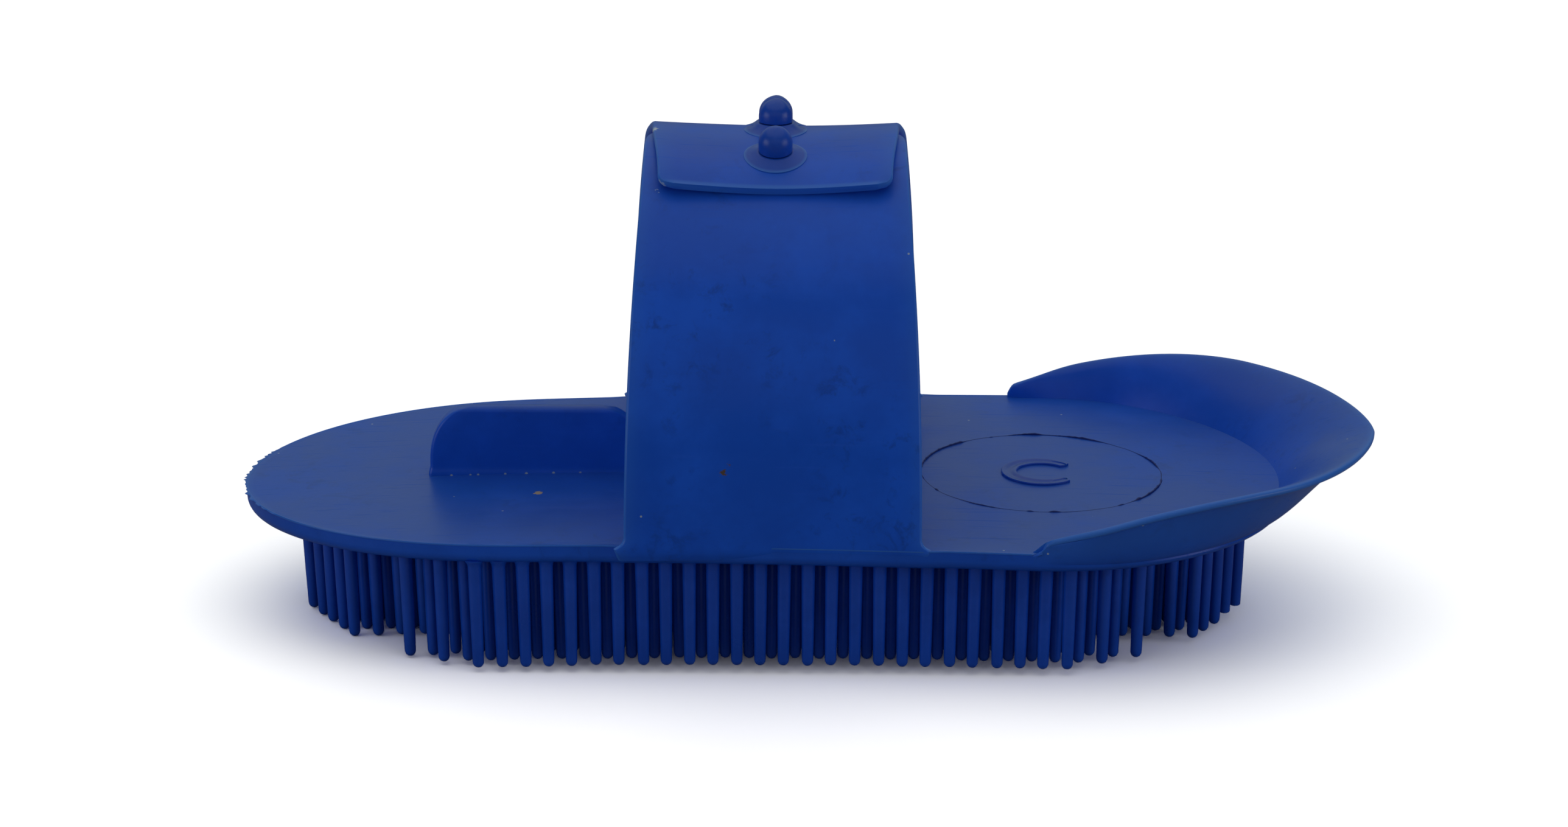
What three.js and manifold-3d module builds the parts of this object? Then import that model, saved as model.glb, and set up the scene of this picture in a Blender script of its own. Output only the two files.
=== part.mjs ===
// Plastic curry comb for horses, in millimetres, +Z up.
//
// An oval plate with rows of blunt teeth below, a flared mud scoop round its right end, a finger rib on its
// left half, and a hand strap that arches over the middle. The strap is two flaps. The front one carries
// three studs, and the tab at the end of the back one is buttoned over them.
//
// The parts are laid out with x = 0 at the middle of the strap, y = 0 on the centre line (the front is -Y)
// and z = 0 at the middle of the plate's top face. The group then lifts them so that the origin is under
// the middle of the whole comb, level with the lowest tooth tips.
import * as THREE from "three";
import { mergeVertices } from "three/addons/utils/BufferGeometryUtils.js";
import Module from "manifold-3d";

const GAP = 0.3; // between neighbouring solids

// Plate: straight sides that end in two half ellipses, and that spread a little towards the right.
const PLATE = {
  halfWidth: 44.5,
  taper: 0.04, // gain in half-width per millimetre towards the right
  taperEnd: 50,
  leftStraight: -45,
  rightStraight: 47,
  leftTip: -98.2,
  rightTip: 94.3,
  depth: 3,
  leftBow: 0.0003, // drop of the top face = bow * x * x
  rightBow: 0.00016,
};
// Rounded edge of the plate: how far each level is set in from the outline, and how deep it lies.
const PLATE_LEVELS = [
  { inset: 0, depth: 0 },
  { inset: 0.2, depth: 1.5 },
  { inset: 1, depth: 2.5 },
  { inset: 2.4, depth: PLATE.depth },
];

// Mud scoop: a wall that flares out from the plate's right end.
const SCOOP = {
  start: 46.8,
  tip: 112.5,
  halfWidth: 50.5,
  bluntness: 5.1, // powers of the curve that the rim follows
  roundness: 1.6,
  startHeight: 1.8,
  height: 10.1,
  fullHeightAt: 90,
  tipDrop: 0.6,
  wall: 1.3,
  blend: 12,
  flare: 0.75, // below 1, the wall is steeper at its foot than at its rim
  lip: 0.4, // the wall's outer edge is this much lower than its inner edge
  ledge: 1,
};
const SCOOP_LEVELS = [0, 0.35, 0.7, 1]; // places across the wall, from its foot to its rim

const RIB = { left: -64, right: -25.5, top: 12.1, thickness: 3, leftCorner: [7.4, 10], rightCorner: 6 };
const ROUNDEL = { x: 50, radius: 22.5, thickness: 1.2 };
const HORSESHOE = { outer: 7.5, inner: 4.7, opening: 0.7, thickness: 0.4 };

// Teeth: rows on a triangular lattice. Each row is [distance from the centre line, number of teeth].
// The tips follow the droop of the plate, but no further down than a level at each end, where they stand.
const TOOTH = {
  pitch: 4.35,
  rootWidth: 2.4,
  tipWidth: 2,
  reach: 24.4,
  leftLevel: 26.1,
  rightLevel: 25.35,
  stripDepth: 0.8,
  rowThickness: 2.2,
};
const TOOTH_ROWS = [
  [39.9, 26],
  [36.1, 29],
  [32.3, 32],
  [20.9, 37],
  [17.1, 38],
  [13.3, 39],
  [9.5, 40],
  [5.7, 41],
  [1.9, 40],
];

// Strap: half a slightly squared ellipse from side to side, seen along X. The back flap lies on the
// front one.
const STRAP = {
  thickness: 1.5,
  halfSpan: 44.2,
  crown: 64.25,
  squareness: 2.2, // power of the arch, 2 being a true ellipse
  rootWidth: 54,
  rootFillet: 2,
  narrowing: 2.2, // the flaps keep their width low down and narrow towards the crown
  frontCrownWidth: 48,
  backCrownWidth: 47.6,
  tabEndWidth: 43,
  tabCorner: 2.5,
};
const LAP = STRAP.thickness + GAP; // from the front flap's middle surface to the back flap's
const FRONT_FLAP_END = 25; // y of the front flap's hidden end
const TAB_END = -19.2; // y of the tab's free end
const PEEL_LINE = 24; // y where the tab bends away from the back flap
const HINGE_GAP = 0.4;

// Studs: a ball head on a neck that swells into a foot. Heights are above the front flap.
const STUD = {
  spacing: [-9.6, 3.2, 14.6],
  foot: 3,
  footHeight: 1.2,
  neck: 2.2,
  neckStart: 1.7,
  head: 3.15,
  headStart: 2.9,
  headTop: 7.6,
};
const COLLAR = { outer: 5.1, top: 3.5, bore: 2.5, start: 2.1, brim: 2.3, height: 2.85 };
// The eyelets are drawn open this far towards the free end, in place of the stretch of the soft plastic.
const EYELET = { radius: 3.4, stretch: [4.8, 3.3, 2.4] };

const wasm = await Module();
wasm.setup();

const plastic = (color, roughness) => new THREE.MeshStandardMaterial({ color, roughness, metalness: 0 });
const BLUE = plastic(0x0b3fa6, 0.42);
const DARK_BLUE = plastic(0x0a2f7e, 0.5);

// ---- Geometry helpers ----

// One closed surface with its faces pointing out, from points and triangles that may share places.
function closedGeometry(points, index) {
  const raw = new THREE.BufferGeometry().setFromPoints(points);
  raw.setIndex(index);
  const merged = mergeVertices(raw, 1e-3);
  const ids = merged.index.array;
  const kept = [];
  for (let i = 0; i < ids.length; i += 3) {
    const [a, b, c] = [ids[i], ids[i + 1], ids[i + 2]];
    if (a !== b && b !== c && c !== a) kept.push(a, b, c);
  }
  if (signedVolume(merged.attributes.position, kept) < 0) kept.reverse();
  merged.setIndex(kept);
  return merged;
}

function signedVolume(position, index) {
  const [a, b, c] = [new THREE.Vector3(), new THREE.Vector3(), new THREE.Vector3()];
  let volume = 0;
  for (let i = 0; i < index.length; i += 3) {
    a.fromBufferAttribute(position, index[i]);
    b.fromBufferAttribute(position, index[i + 1]);
    c.fromBufferAttribute(position, index[i + 2]);
    volume += a.dot(b.cross(c)) / 6;
  }
  return volume;
}

// Skin through a series of rings, with strips across the first and the last ring. Point j of a ring lies
// across from point count - 1 - j.
function loft(rings) {
  const count = rings[0].length;
  const last = (rings.length - 1) * count;
  const index = [];
  const quad = (a, b, c, d) => index.push(a, b, c, a, c, d);
  for (let start = 0; start < last; start += count) {
    for (let j = 0; j < count; j++) {
      const here = start + j;
      const next = start + ((j + 1) % count);
      quad(here, next, next + count, here + count);
    }
  }
  for (let j = 0; j + 1 < count / 2; j++) {
    const across = count - 1 - j;
    quad(j, across, across - 1, j + 1);
    quad(last + j, last + j + 1, last + across - 1, last + across);
  }
  return closedGeometry(rings.flat(), index);
}

function toSolid(geometry) {
  const bare = geometry.clone();
  bare.deleteAttribute("normal");
  bare.deleteAttribute("uv");
  const merged = mergeVertices(bare, 1e-3);
  const vertProperties = merged.attributes.position.array;
  const triVerts = new Uint32Array(merged.index.array);
  return new wasm.Manifold(new wasm.Mesh({ numProp: 3, vertProperties, triVerts }));
}

function toGeometry(solid) {
  const { vertProperties, triVerts } = solid.getMesh();
  const geometry = new THREE.BufferGeometry();
  geometry.setAttribute("position", new THREE.BufferAttribute(vertProperties, 3));
  return geometry.setIndex(new THREE.BufferAttribute(triVerts, 1));
}

const cut = (geometry, ...cutters) =>
  toGeometry(cutters.reduce((solid, cutter) => solid.subtract(toSolid(cutter)), toSolid(geometry)));

function steps(from, to, count) {
  return Array.from({ length: count + 1 }, (_, i) => from + ((to - from) * i) / count);
}

// ---- Shared curves ----

// Height of the plate's top face, which droops towards both ends.
const plateTop = (x) => -(x < 0 ? PLATE.leftBow : PLATE.rightBow) * x * x;

// How much wider than its middle one half of the plate is at a place along it.
const plateSpread = (x) => PLATE.taper * THREE.MathUtils.clamp(x, -PLATE.taperEnd, PLATE.taperEnd);
const plateHalfWidth = (x) => PLATE.halfWidth + plateSpread(x);

// Half of the plate's outline, as [x, half-width], from the right tip to the left tip.
function halfOutline(inset) {
  const width = (x) => plateHalfWidth(x) - inset;
  const rightLength = PLATE.rightTip - PLATE.rightStraight - inset;
  const leftLength = PLATE.leftStraight - PLATE.leftTip - inset;
  const turn = steps(0, Math.PI / 2, 12);
  const end = (x, t) => [x, width(x) * Math.sin(t)];
  const right = turn.map((t) => end(PLATE.rightStraight + rightLength * Math.cos(t), t));
  const left = turn.map((t) => end(PLATE.leftStraight - leftLength * Math.cos(t), t));
  const straight = steps(PLATE.rightStraight, PLATE.leftStraight, 8).slice(1, -1);
  return [...right, ...straight.map((x) => [x, width(x)]), ...left.reverse()];
}

// A place on the strap's middle surface: angle 0 is the front root, PI / 2 the crown, PI the back root.
// lift moves it out along the surface's normal.
function archPoint(flap, angle, lift = 0) {
  const front = angle < Math.PI / 2;
  const onOwnSide = flap === "front" ? front : !front;
  const lap = flap === "front" ? -LAP : LAP;
  const span = STRAP.halfSpan + (onOwnSide ? 0 : lap);
  const crown = STRAP.crown - (flap === "front" ? LAP : 0);
  const bend = 2 / STRAP.squareness;
  const across = -Math.sign(Math.cos(angle)) * span;
  const [cos, sin] = [Math.abs(Math.cos(angle)), Math.max(0, Math.sin(angle))];
  const facing = Math.sign(across) * crown * cos ** (2 - bend);
  const normal = new THREE.Vector3(0, facing, span * sin ** (2 - bend)).normalize();
  const point = new THREE.Vector3(0, across * cos ** bend, crown * sin ** bend);
  return { point: point.addScaledVector(normal, lift), normal };
}

// The angle at which a flap's middle surface has a given y.
function archAngle(flap, y) {
  const ownSide = flap === "front" ? y < 0 : y > 0;
  const lap = flap === "front" ? -LAP : LAP;
  const share = Math.abs(y) / (STRAP.halfSpan + (ownSide ? 0 : lap));
  return Math.acos(-Math.sign(y) * share ** (STRAP.squareness / 2));
}

// The small angle at which the middle surface stands clear of the plate.
const rootAngle = (crown) => Math.asin((GAP / crown) ** (STRAP.squareness / 2));

// Width of a flap at a height above the plate, with a fillet where it meets the plate.
function strapWidth(height, crownWidth) {
  const rise = Math.min(1, Math.max(0, height / STRAP.crown));
  const fillet = THREE.MathUtils.clamp(1 - height / STRAP.rootFillet, 0, 1);
  const flare = STRAP.rootFillet * (1 - Math.sqrt(1 - fillet * fillet));
  return STRAP.rootWidth + (crownWidth - STRAP.rootWidth) * rise ** STRAP.narrowing + 2 * flare;
}

// One ring of a flap: its four corners at an angle. Low down the flap follows the spread of the plate.
function strapRing(flap, angle, width) {
  const half = STRAP.thickness / 2;
  const corner = (x, lift) => {
    const { point } = archPoint(flap, angle, lift);
    const low = Math.max(0, 1 - point.z / STRAP.crown) ** 2;
    return point.set(x, point.y + Math.sign(point.y) * plateSpread(x) * low, point.z);
  };
  return [
    corner(-width / 2, -half),
    corner(width / 2, -half),
    corner(width / 2, half),
    corner(-width / 2, half),
  ];
}

// ---- Sub-parts ----

function plate() {
  const rows = PLATE_LEVELS.map(({ inset }) => halfOutline(inset));
  const rings = rows[0].map((_, i) => {
    const side = (sign) =>
      PLATE_LEVELS.map(({ depth }, level) => {
        const [x, width] = rows[level][i];
        return new THREE.Vector3(x, sign * width, plateTop(x) - depth);
      });
    return [...side(1), ...side(-1).reverse()];
  });
  const pocket = new THREE.CylinderGeometry(ROUNDEL.radius + GAP, ROUNDEL.radius + GAP, 4, 40);
  pocket.rotateX(Math.PI / 2);
  return cut(loft(rings), onRoundel(pocket, 2 - ROUNDEL.thickness - GAP));
}

// Moves a geometry from the origin to the middle of the roundel's face, and up by rise.
const onRoundel = (geometry, rise) => geometry.translate(ROUNDEL.x, 0, plateTop(ROUNDEL.x) + rise);

function scoopRim() {
  const rings = steps(-Math.PI / 2, Math.PI / 2, 32).map((angle) => {
    const [cos, sin] = [Math.max(0, Math.cos(angle)), Math.sin(angle)];
    const length = PLATE.rightTip - PLATE.rightStraight + GAP;
    const baseX = PLATE.rightStraight + length * cos;
    const width = plateHalfWidth(baseX) + GAP;
    const base = new THREE.Vector2(baseX, width * sin);
    const rimX = SCOOP.start + (SCOOP.tip - SCOOP.start) * cos;
    const rim = new THREE.Vector2(rimX, Math.sign(sin) * rimHalfWidth(rimX));
    const out = new THREE.Vector2(cos / length, sin / width).normalize();
    const innerRim = rim.clone().addScaledVector(out, -SCOOP.wall);
    const [low, high] = [plateTop(base.x), rimHeight(rimX)];
    const inner = SCOOP_LEVELS.map((part) => {
      const place = base.clone().lerp(innerRim, part);
      return new THREE.Vector3(place.x, place.y, low + (high - low) * part ** SCOOP.flare);
    });
    const drops = [PLATE.depth, SCOOP.ledge, SCOOP.ledge, SCOOP.lip];
    const outer = inner.map((p, i) => {
      return new THREE.Vector3(p.x + out.x * SCOOP.wall, p.y + out.y * SCOOP.wall, p.z - drops[i]);
    });
    return [...inner, ...outer.reverse()];
  });
  return loft(rings);
}

// The rim starts flush with the plate's side and widens into a blunt oval.
function rimHalfWidth(x) {
  const share = Math.max(0, 1 - (x / SCOOP.tip) ** SCOOP.bluntness);
  const full = SCOOP.halfWidth * share ** (1 / SCOOP.roundness);
  const side = plateHalfWidth(x) + GAP + SCOOP.wall;
  const blend = THREE.MathUtils.smoothstep(x, SCOOP.start, SCOOP.start + SCOOP.blend);
  return side + (full - side) * blend;
}

function rimHeight(x) {
  const left = 1 - THREE.MathUtils.clamp((x - SCOOP.start) / (SCOOP.fullHeightAt - SCOOP.start), 0, 1);
  const past = Math.max(0, (x - SCOOP.fullHeightAt) / (SCOOP.tip - SCOOP.fullHeightAt));
  return SCOOP.startHeight + (SCOOP.height - SCOOP.startHeight) * (1 - left * left) - SCOOP.tipDrop * past;
}

function fingerRib() {
  const [cornerWidth, cornerHeight] = RIB.leftCorner;
  const low = (x) => plateTop(x) + GAP;
  const outline = new THREE.Shape();
  outline.moveTo(RIB.left, low(RIB.left));
  outline.lineTo((RIB.left + RIB.right) / 2, low((RIB.left + RIB.right) / 2));
  outline.lineTo(RIB.right, low(RIB.right));
  outline.lineTo(RIB.right, RIB.top - RIB.rightCorner);
  outline.absarc(RIB.right - RIB.rightCorner, RIB.top - RIB.rightCorner, RIB.rightCorner, 0, Math.PI / 2);
  const turn = { x: RIB.left + cornerWidth, y: RIB.top - cornerHeight };
  outline.absellipse(turn.x, turn.y, cornerWidth, cornerHeight, Math.PI / 2, Math.PI);
  return standUp(outline, RIB.thickness, 6);
}

// Extrudes an outline drawn in x and z, centred on y = 0.
function standUp(outline, thickness, curveSegments) {
  const settings = { depth: thickness, bevelEnabled: false, curveSegments };
  return new THREE.ExtrudeGeometry(outline, settings).rotateX(Math.PI / 2).translate(0, thickness / 2, 0);
}

function roundel() {
  const disc = new THREE.CylinderGeometry(ROUNDEL.radius, ROUNDEL.radius, ROUNDEL.thickness, 40);
  disc.rotateX(Math.PI / 2);
  const groove = horseshoeShape(GAP, 2);
  return cut(onRoundel(disc, -ROUNDEL.thickness / 2), onRoundel(groove, -HORSESHOE.thickness - GAP));
}

// A plain horseshoe that opens to the right and stands on z = 0, made wider all round by margin.
function horseshoeShape(margin, depth) {
  const { outer, inner, opening } = HORSESHOE;
  const start = opening - margin / inner;
  const outline = new THREE.Shape();
  outline.absarc(0, 0, outer + margin, start, 2 * Math.PI - start);
  outline.absarc(0, 0, inner - margin, 2 * Math.PI - start, start, true);
  return new THREE.ExtrudeGeometry(outline, { depth, bevelEnabled: false, curveSegments: 16 });
}

// The mark lies in a groove of the roundel, level with its face.
const horseshoe = () => onRoundel(horseshoeShape(0, HORSESHOE.thickness), -HORSESHOE.thickness);

// One row of teeth on a thin root strip. The teeth stand square to the drooping plate.
function toothRow(y, count) {
  const stripTop = (x) => plateTop(x) - PLATE.depth - GAP;
  const stripBottom = (x) => stripTop(x) - TOOTH.stripDepth;
  const places = steps((-TOOTH.pitch * (count - 1)) / 2, (TOOTH.pitch * (count - 1)) / 2, count - 1);
  const margin = TOOTH.rootWidth;
  const outline = new THREE.Shape();
  outline.moveTo(places[0] - margin, stripTop(places[0] - margin));
  outline.lineTo(places[0] - margin, stripBottom(places[0] - margin));
  for (const x of places) {
    const lean = (x < 0 ? PLATE.leftBow : PLATE.rightBow) * 2 * x;
    const level = x < 0 ? TOOTH.leftLevel : TOOTH.rightLevel;
    const tip = { x: x - lean * TOOTH.reach, z: Math.max(plateTop(x) - TOOTH.reach, -level) };
    outline.lineTo(x - TOOTH.rootWidth / 2, stripBottom(x));
    outline.lineTo(tip.x - TOOTH.tipWidth / 2, tip.z);
    outline.lineTo(tip.x + TOOTH.tipWidth / 2, tip.z);
    outline.lineTo(x + TOOTH.rootWidth / 2, stripBottom(x));
  }
  const end = places.at(-1) + margin;
  outline.lineTo(end, stripBottom(end));
  for (const x of steps(end, places[0] - margin, 8).slice(0, -1)) {
    outline.lineTo(x, stripTop(x));
  }
  return standUp(outline, TOOTH.rowThickness, 1).translate(0, y, 0);
}

function frontStrap() {
  const start = rootAngle(STRAP.crown - LAP);
  const end = archAngle("front", FRONT_FLAP_END);
  const rings = steps(start, end, 24).map((angle) => {
    const height = angle < Math.PI / 2 ? archPoint("front", angle).point.z : STRAP.crown;
    return strapRing("front", angle, strapWidth(height - GAP, STRAP.frontCrownWidth));
  });
  return loft(rings);
}

function backStrap() {
  const start = Math.PI - rootAngle(STRAP.crown);
  const rings = steps(start, archAngle("back", PEEL_LINE), 18).map((angle) => {
    const height = archPoint("back", angle).point.z;
    return strapRing("back", angle, strapWidth(height - GAP, STRAP.backCrownWidth));
  });
  return loft(rings);
}

// The buttoned end of the back flap, with its eyelets.
function strapTab() {
  const [from, to] = [archAngle("back", PEEL_LINE - HINGE_GAP), archAngle("back", TAB_END)];
  const startWidth = strapWidth(archPoint("back", from).point.z, STRAP.backCrownWidth);
  const arc = STRAP.halfSpan * (from - to) * 0.9;
  const rings = [...steps(0, 0.94, 12), 0.97, 0.99, 1].map((part) => {
    const toEnd = (1 - part) * arc;
    const turn = Math.max(0, 1 - toEnd / STRAP.tabCorner);
    const rounding = STRAP.tabCorner * (1 - Math.sqrt(1 - turn * turn));
    const width = startWidth + (STRAP.tabEndWidth - startWidth) * part - 2 * rounding;
    return strapRing("back", from + (to - from) * part, width);
  });
  return cut(loft(rings), ...STUD.spacing.map((y, i) => onStud(eyelet(EYELET.stretch[i]), y)));
}

// A slot with round ends, from the stud towards the free end.
function eyelet(stretch) {
  const outline = new THREE.Shape();
  outline.absarc(0, 0, EYELET.radius, 0, Math.PI);
  outline.absarc(0, -stretch, EYELET.radius, Math.PI, 2 * Math.PI);
  const slot = new THREE.ExtrudeGeometry(outline, { depth: 6, bevelEnabled: false, curveSegments: 10 });
  return slot.translate(0, 0, -1);
}

// Stands a geometry on the front flap's outer face where its middle surface has the given y.
function onStud(geometry, y) {
  const { point, normal } = archPoint("front", archAngle("front", y), STRAP.thickness / 2);
  geometry.rotateX(Math.atan2(-normal.y, normal.z));
  return geometry.translate(point.x, point.y, point.z);
}

// Turns a profile of [radius, height] pairs about Z.
function turned(profile, segments) {
  const points = profile.map(([radius, height]) => new THREE.Vector2(radius, height));
  return new THREE.LatheGeometry(points, segments).rotateX(Math.PI / 2);
}

function stud() {
  const dome = STUD.headTop - STUD.head;
  const arc = steps(0, Math.PI / 2, 4).map((t) => [STUD.head * Math.cos(t), dome + STUD.head * Math.sin(t)]);
  arc[arc.length - 1][0] = 0;
  return turned(
    [
      [0, GAP],
      [STUD.foot, GAP],
      [STUD.foot, STUD.footHeight],
      [STUD.neck, STUD.neckStart],
      [STUD.neck, STUD.headStart],
      [STUD.head, STUD.headStart + 0.3],
      ...arc,
    ],
    16,
  );
}

function eyeletCollar() {
  const { outer, top, bore, start, brim, height } = COLLAR;
  return turned(
    [
      [bore, start],
      [outer, start],
      [outer, brim],
      [top, height],
      [bore, height],
      [bore, start],
    ],
    20,
  );
}

// ---- Assembly ----

const comb = new THREE.Group();

function add(name, geometry, material = BLUE) {
  const mesh = new THREE.Mesh(geometry, material);
  mesh.name = name;
  comb.add(mesh);
}

add("plate", plate());
add("scoop_rim", scoopRim());
add("finger_rib", fingerRib());
add("roundel", roundel());
add("horseshoe_mark", horseshoe(), DARK_BLUE);
TOOTH_ROWS.forEach(([distance, count], i) => {
  add(`tooth_row_front_${i + 1}`, toothRow(-distance, count));
  add(`tooth_row_back_${i + 1}`, toothRow(distance, count));
});
add("front_strap", frontStrap());
add("back_strap", backStrap());
add("strap_tab", strapTab());
STUD.spacing.forEach((y, i) => {
  add(`stud_${i + 1}`, onStud(stud(), y), DARK_BLUE);
  add(`eyelet_collar_${i + 1}`, onStud(eyeletCollar(), y));
});

// The origin goes under the middle of the whole comb, level with its lowest tooth tip.
const size = new THREE.Box3().setFromObject(comb, true);
comb.position.set(-(size.min.x + size.max.x) / 2, 0, -size.min.z);

export default comb;
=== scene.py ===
import math
import random

import bmesh
import bpy
from mathutils import Matrix, Vector, noise


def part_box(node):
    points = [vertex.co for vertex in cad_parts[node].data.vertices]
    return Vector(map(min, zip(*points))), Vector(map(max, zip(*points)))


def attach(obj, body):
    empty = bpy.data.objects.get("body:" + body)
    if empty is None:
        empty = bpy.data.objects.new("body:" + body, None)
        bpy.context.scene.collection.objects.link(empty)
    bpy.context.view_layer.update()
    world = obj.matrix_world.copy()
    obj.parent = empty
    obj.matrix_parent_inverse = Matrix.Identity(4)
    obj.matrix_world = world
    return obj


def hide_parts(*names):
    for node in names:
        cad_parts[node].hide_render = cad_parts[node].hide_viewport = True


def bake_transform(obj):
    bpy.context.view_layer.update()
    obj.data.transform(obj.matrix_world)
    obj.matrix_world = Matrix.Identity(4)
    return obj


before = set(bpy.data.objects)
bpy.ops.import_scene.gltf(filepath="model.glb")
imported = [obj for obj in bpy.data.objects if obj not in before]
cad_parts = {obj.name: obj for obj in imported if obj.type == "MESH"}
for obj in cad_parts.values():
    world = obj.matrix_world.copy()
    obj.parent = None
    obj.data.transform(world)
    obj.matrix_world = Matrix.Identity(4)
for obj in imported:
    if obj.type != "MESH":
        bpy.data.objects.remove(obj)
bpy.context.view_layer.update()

# A one-piece moulded curry comb: plate, scoop, rib, teeth and a strap of two buttoned flaps.
# Shapes are worked out in millimetres with x = 0 at the middle of the strap, y = 0 on the centre line and
# z = 0 on the plate's top face, then placed in the frame from the CAD nodes' boxes.
MM = 0.001
plate_low, plate_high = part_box("plate")
strap_low, strap_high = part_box("front_strap")
scoop_low, scoop_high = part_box("scoop_rim")
rib_low, rib_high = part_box("finger_rib")
ORIGIN = Vector(((strap_low[0] + strap_high[0]) / 2, 0, plate_high[2]))


def place(x, y, z):
    """A point in millimetres from the middle of the plate's top face, as a point of the frame."""
    return ORIGIN + Vector((x, y, z)) * MM


def millimetres(value, axis):
    """A frame coordinate, back in millimetres from the middle of the plate's top face."""
    return (value - ORIGIN[axis]) / MM


# ---- Driving dimensions ----

LEFT_TIP = millimetres(plate_low[0], 0)
RIGHT_TIP = millimetres(plate_high[0], 0)
SCOOP_TIP = millimetres(scoop_high[0], 0)
SCOOP_START = millimetres(scoop_low[0], 0)
SCOOP_HEIGHT = millimetres(scoop_high[2], 2)
LEFT_STRAIGHT = -45
RIGHT_STRAIGHT = 47
TAPER = 0.04  # gain in the plate's half-width per millimetre towards the right
TAPER_END = 50
HALF_WIDTH = (plate_high[1] - plate_low[1]) / 2 / MM - TAPER * RIGHT_STRAIGHT
PLATE_DEPTH = 3.8  # down to the underside that the teeth grow from
LEFT_BOW = 0.0003
RIGHT_BOW = 0.00016
EDGE_DEPTH = 1.9  # from here down, the side rounds under
EDGE_INSET = 0.35  # the top face ends this far inside the side
NOSE_REACH = 2.3  # how far in the rounded underside of the edge runs
FOOT_BULGE = 0.42  # the plate's side comes out to meet the strap's faces
FOOT_HALF_WIDTH = 27

SCOOP_HALF_WIDTH = 50.5
SCOOP_BLUNTNESS = 5.1
SCOOP_ROUNDNESS = 1.6
SCOOP_START_HEIGHT = 2.1
SCOOP_FULL_HEIGHT_AT = 90
SCOOP_TIP_DROP = 0.6
SCOOP_SKEW = 2  # the rim starts further left at the back than at the front
SCOOP_WALL = 1.3

# Points round a profile of the body. Parts are shares of the way from the middle to the edge.
TOP_PARTS = (0, 0.12, 0.25, 0.38, 0.5, 0.62, 0.74, 0.85, 0.93, 0.98, 1)
BELOW_PARTS = (0.9, 0.75, 0.55, 0.35, 0.15, 0)
WALL_STEPS = 16
LIP_STEPS = 6
NOSE_STEPS = 9

STRAP_THICKNESS = 1.5
STRAP_GAP = 0.3
HALF_SPAN = 44.2
CROWN = 64.25
SQUARENESS = 2.2  # power of the arch's curve, 2 being a true ellipse
ARCH_POWER = 2 / SQUARENESS
LAP = STRAP_THICKNESS + STRAP_GAP
ROOT_WIDTH = 54
ROOT_FILLET = 2
NARROWING = 2.2
FRONT_CROWN_WIDTH = 48
BACK_CROWN_WIDTH = 47.6
TAB_CREST_WIDTH = 45.6
TAB_END_WIDTH = 42.8
TAB_END = -19.2
PEEL_LINE = 24
FRONT_FLAP_END = 25
STUD_PLACES = (-9.6, 3.2, 14.6)
COLLAR_RISE = (1.0, 1.45, 1.3)  # each soft collar sits a little differently

TOOTH_PITCH = 4.35
TOOTH_RADIUS = 1.25
TOOTH_REACH = 24.4
LEFT_LEVEL = 26.1  # the tips go no lower than these levels at the two ends
RIGHT_LEVEL = 25.35
TOOTH_ROWS = (
    (39.9, 26),
    (36.1, 29),
    (32.3, 32),
    (20.9, 37),
    (17.1, 38),
    (13.3, 39),
    (9.5, 40),
    (5.7, 41),
    (1.9, 40),
)
ROUNDEL_X = 50
ROUNDEL_RADIUS = 22.5


# ---- Camera, floor and light ----

ELEVATION = math.radians(18.2)
CAMERA_DISTANCE = 1.443
FOCAL_LENGTH = 177.5
AIM = place(1.9, 0, 0)
AIM_RISE = 0.0104
ROLL = math.radians(0.4)
LIGHT_TARGET = Vector((0, 0, 0.03))
ROOM_LIGHT = 0.03
FLOOR_HALF = 6
FLOOR_SEEN = ((2.85, 2.85, 2.85), (2.95, 2.95, 2.95))
FLOOR_REFLECTED = (0.3, 0.3, 0.3)


def add_camera():
    camera = bpy.data.objects.new("camera", bpy.data.cameras.new("camera"))
    camera.data.lens = FOCAL_LENGTH
    camera.data.sensor_width = 36
    camera.data.clip_end = 20
    back = Vector((0, -math.cos(ELEVATION), math.sin(ELEVATION)))
    up = Vector((0, math.sin(ELEVATION), math.cos(ELEVATION)))
    camera.location = AIM + up * AIM_RISE + back * CAMERA_DISTANCE
    tilt = Matrix.Rotation(math.pi / 2 - ELEVATION, 3, "X") @ Matrix.Rotation(ROLL, 3, "Z")
    camera.rotation_euler = tilt.to_euler()
    bpy.context.collection.objects.link(camera)
    bpy.context.scene.camera = camera


def add_area_light(name, location, size, power, colour=(1, 1, 1)):
    """A soft rectangular light that points at the comb."""
    data = bpy.data.lights.new(name, "AREA")
    data.shape = "RECTANGLE"
    data.size, data.size_y = size
    data.energy = power
    data.color = colour
    light = bpy.data.objects.new(name, data)
    light.location = location
    light.rotation_euler = (LIGHT_TARGET - Vector(location)).to_track_quat("-Z", "Y").to_euler()
    bpy.context.collection.objects.link(light)


def add_sun(name, direction, angle, strength):
    """A far soft light whose disc is angle wide and which shines from the given direction."""
    data = bpy.data.lights.new(name, "SUN")
    data.angle = math.radians(angle)
    data.energy = strength
    sun = bpy.data.objects.new(name, data)
    sun.rotation_euler = Vector(direction).to_track_quat("Z", "Y").to_euler()
    bpy.context.collection.objects.link(sun)


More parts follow.
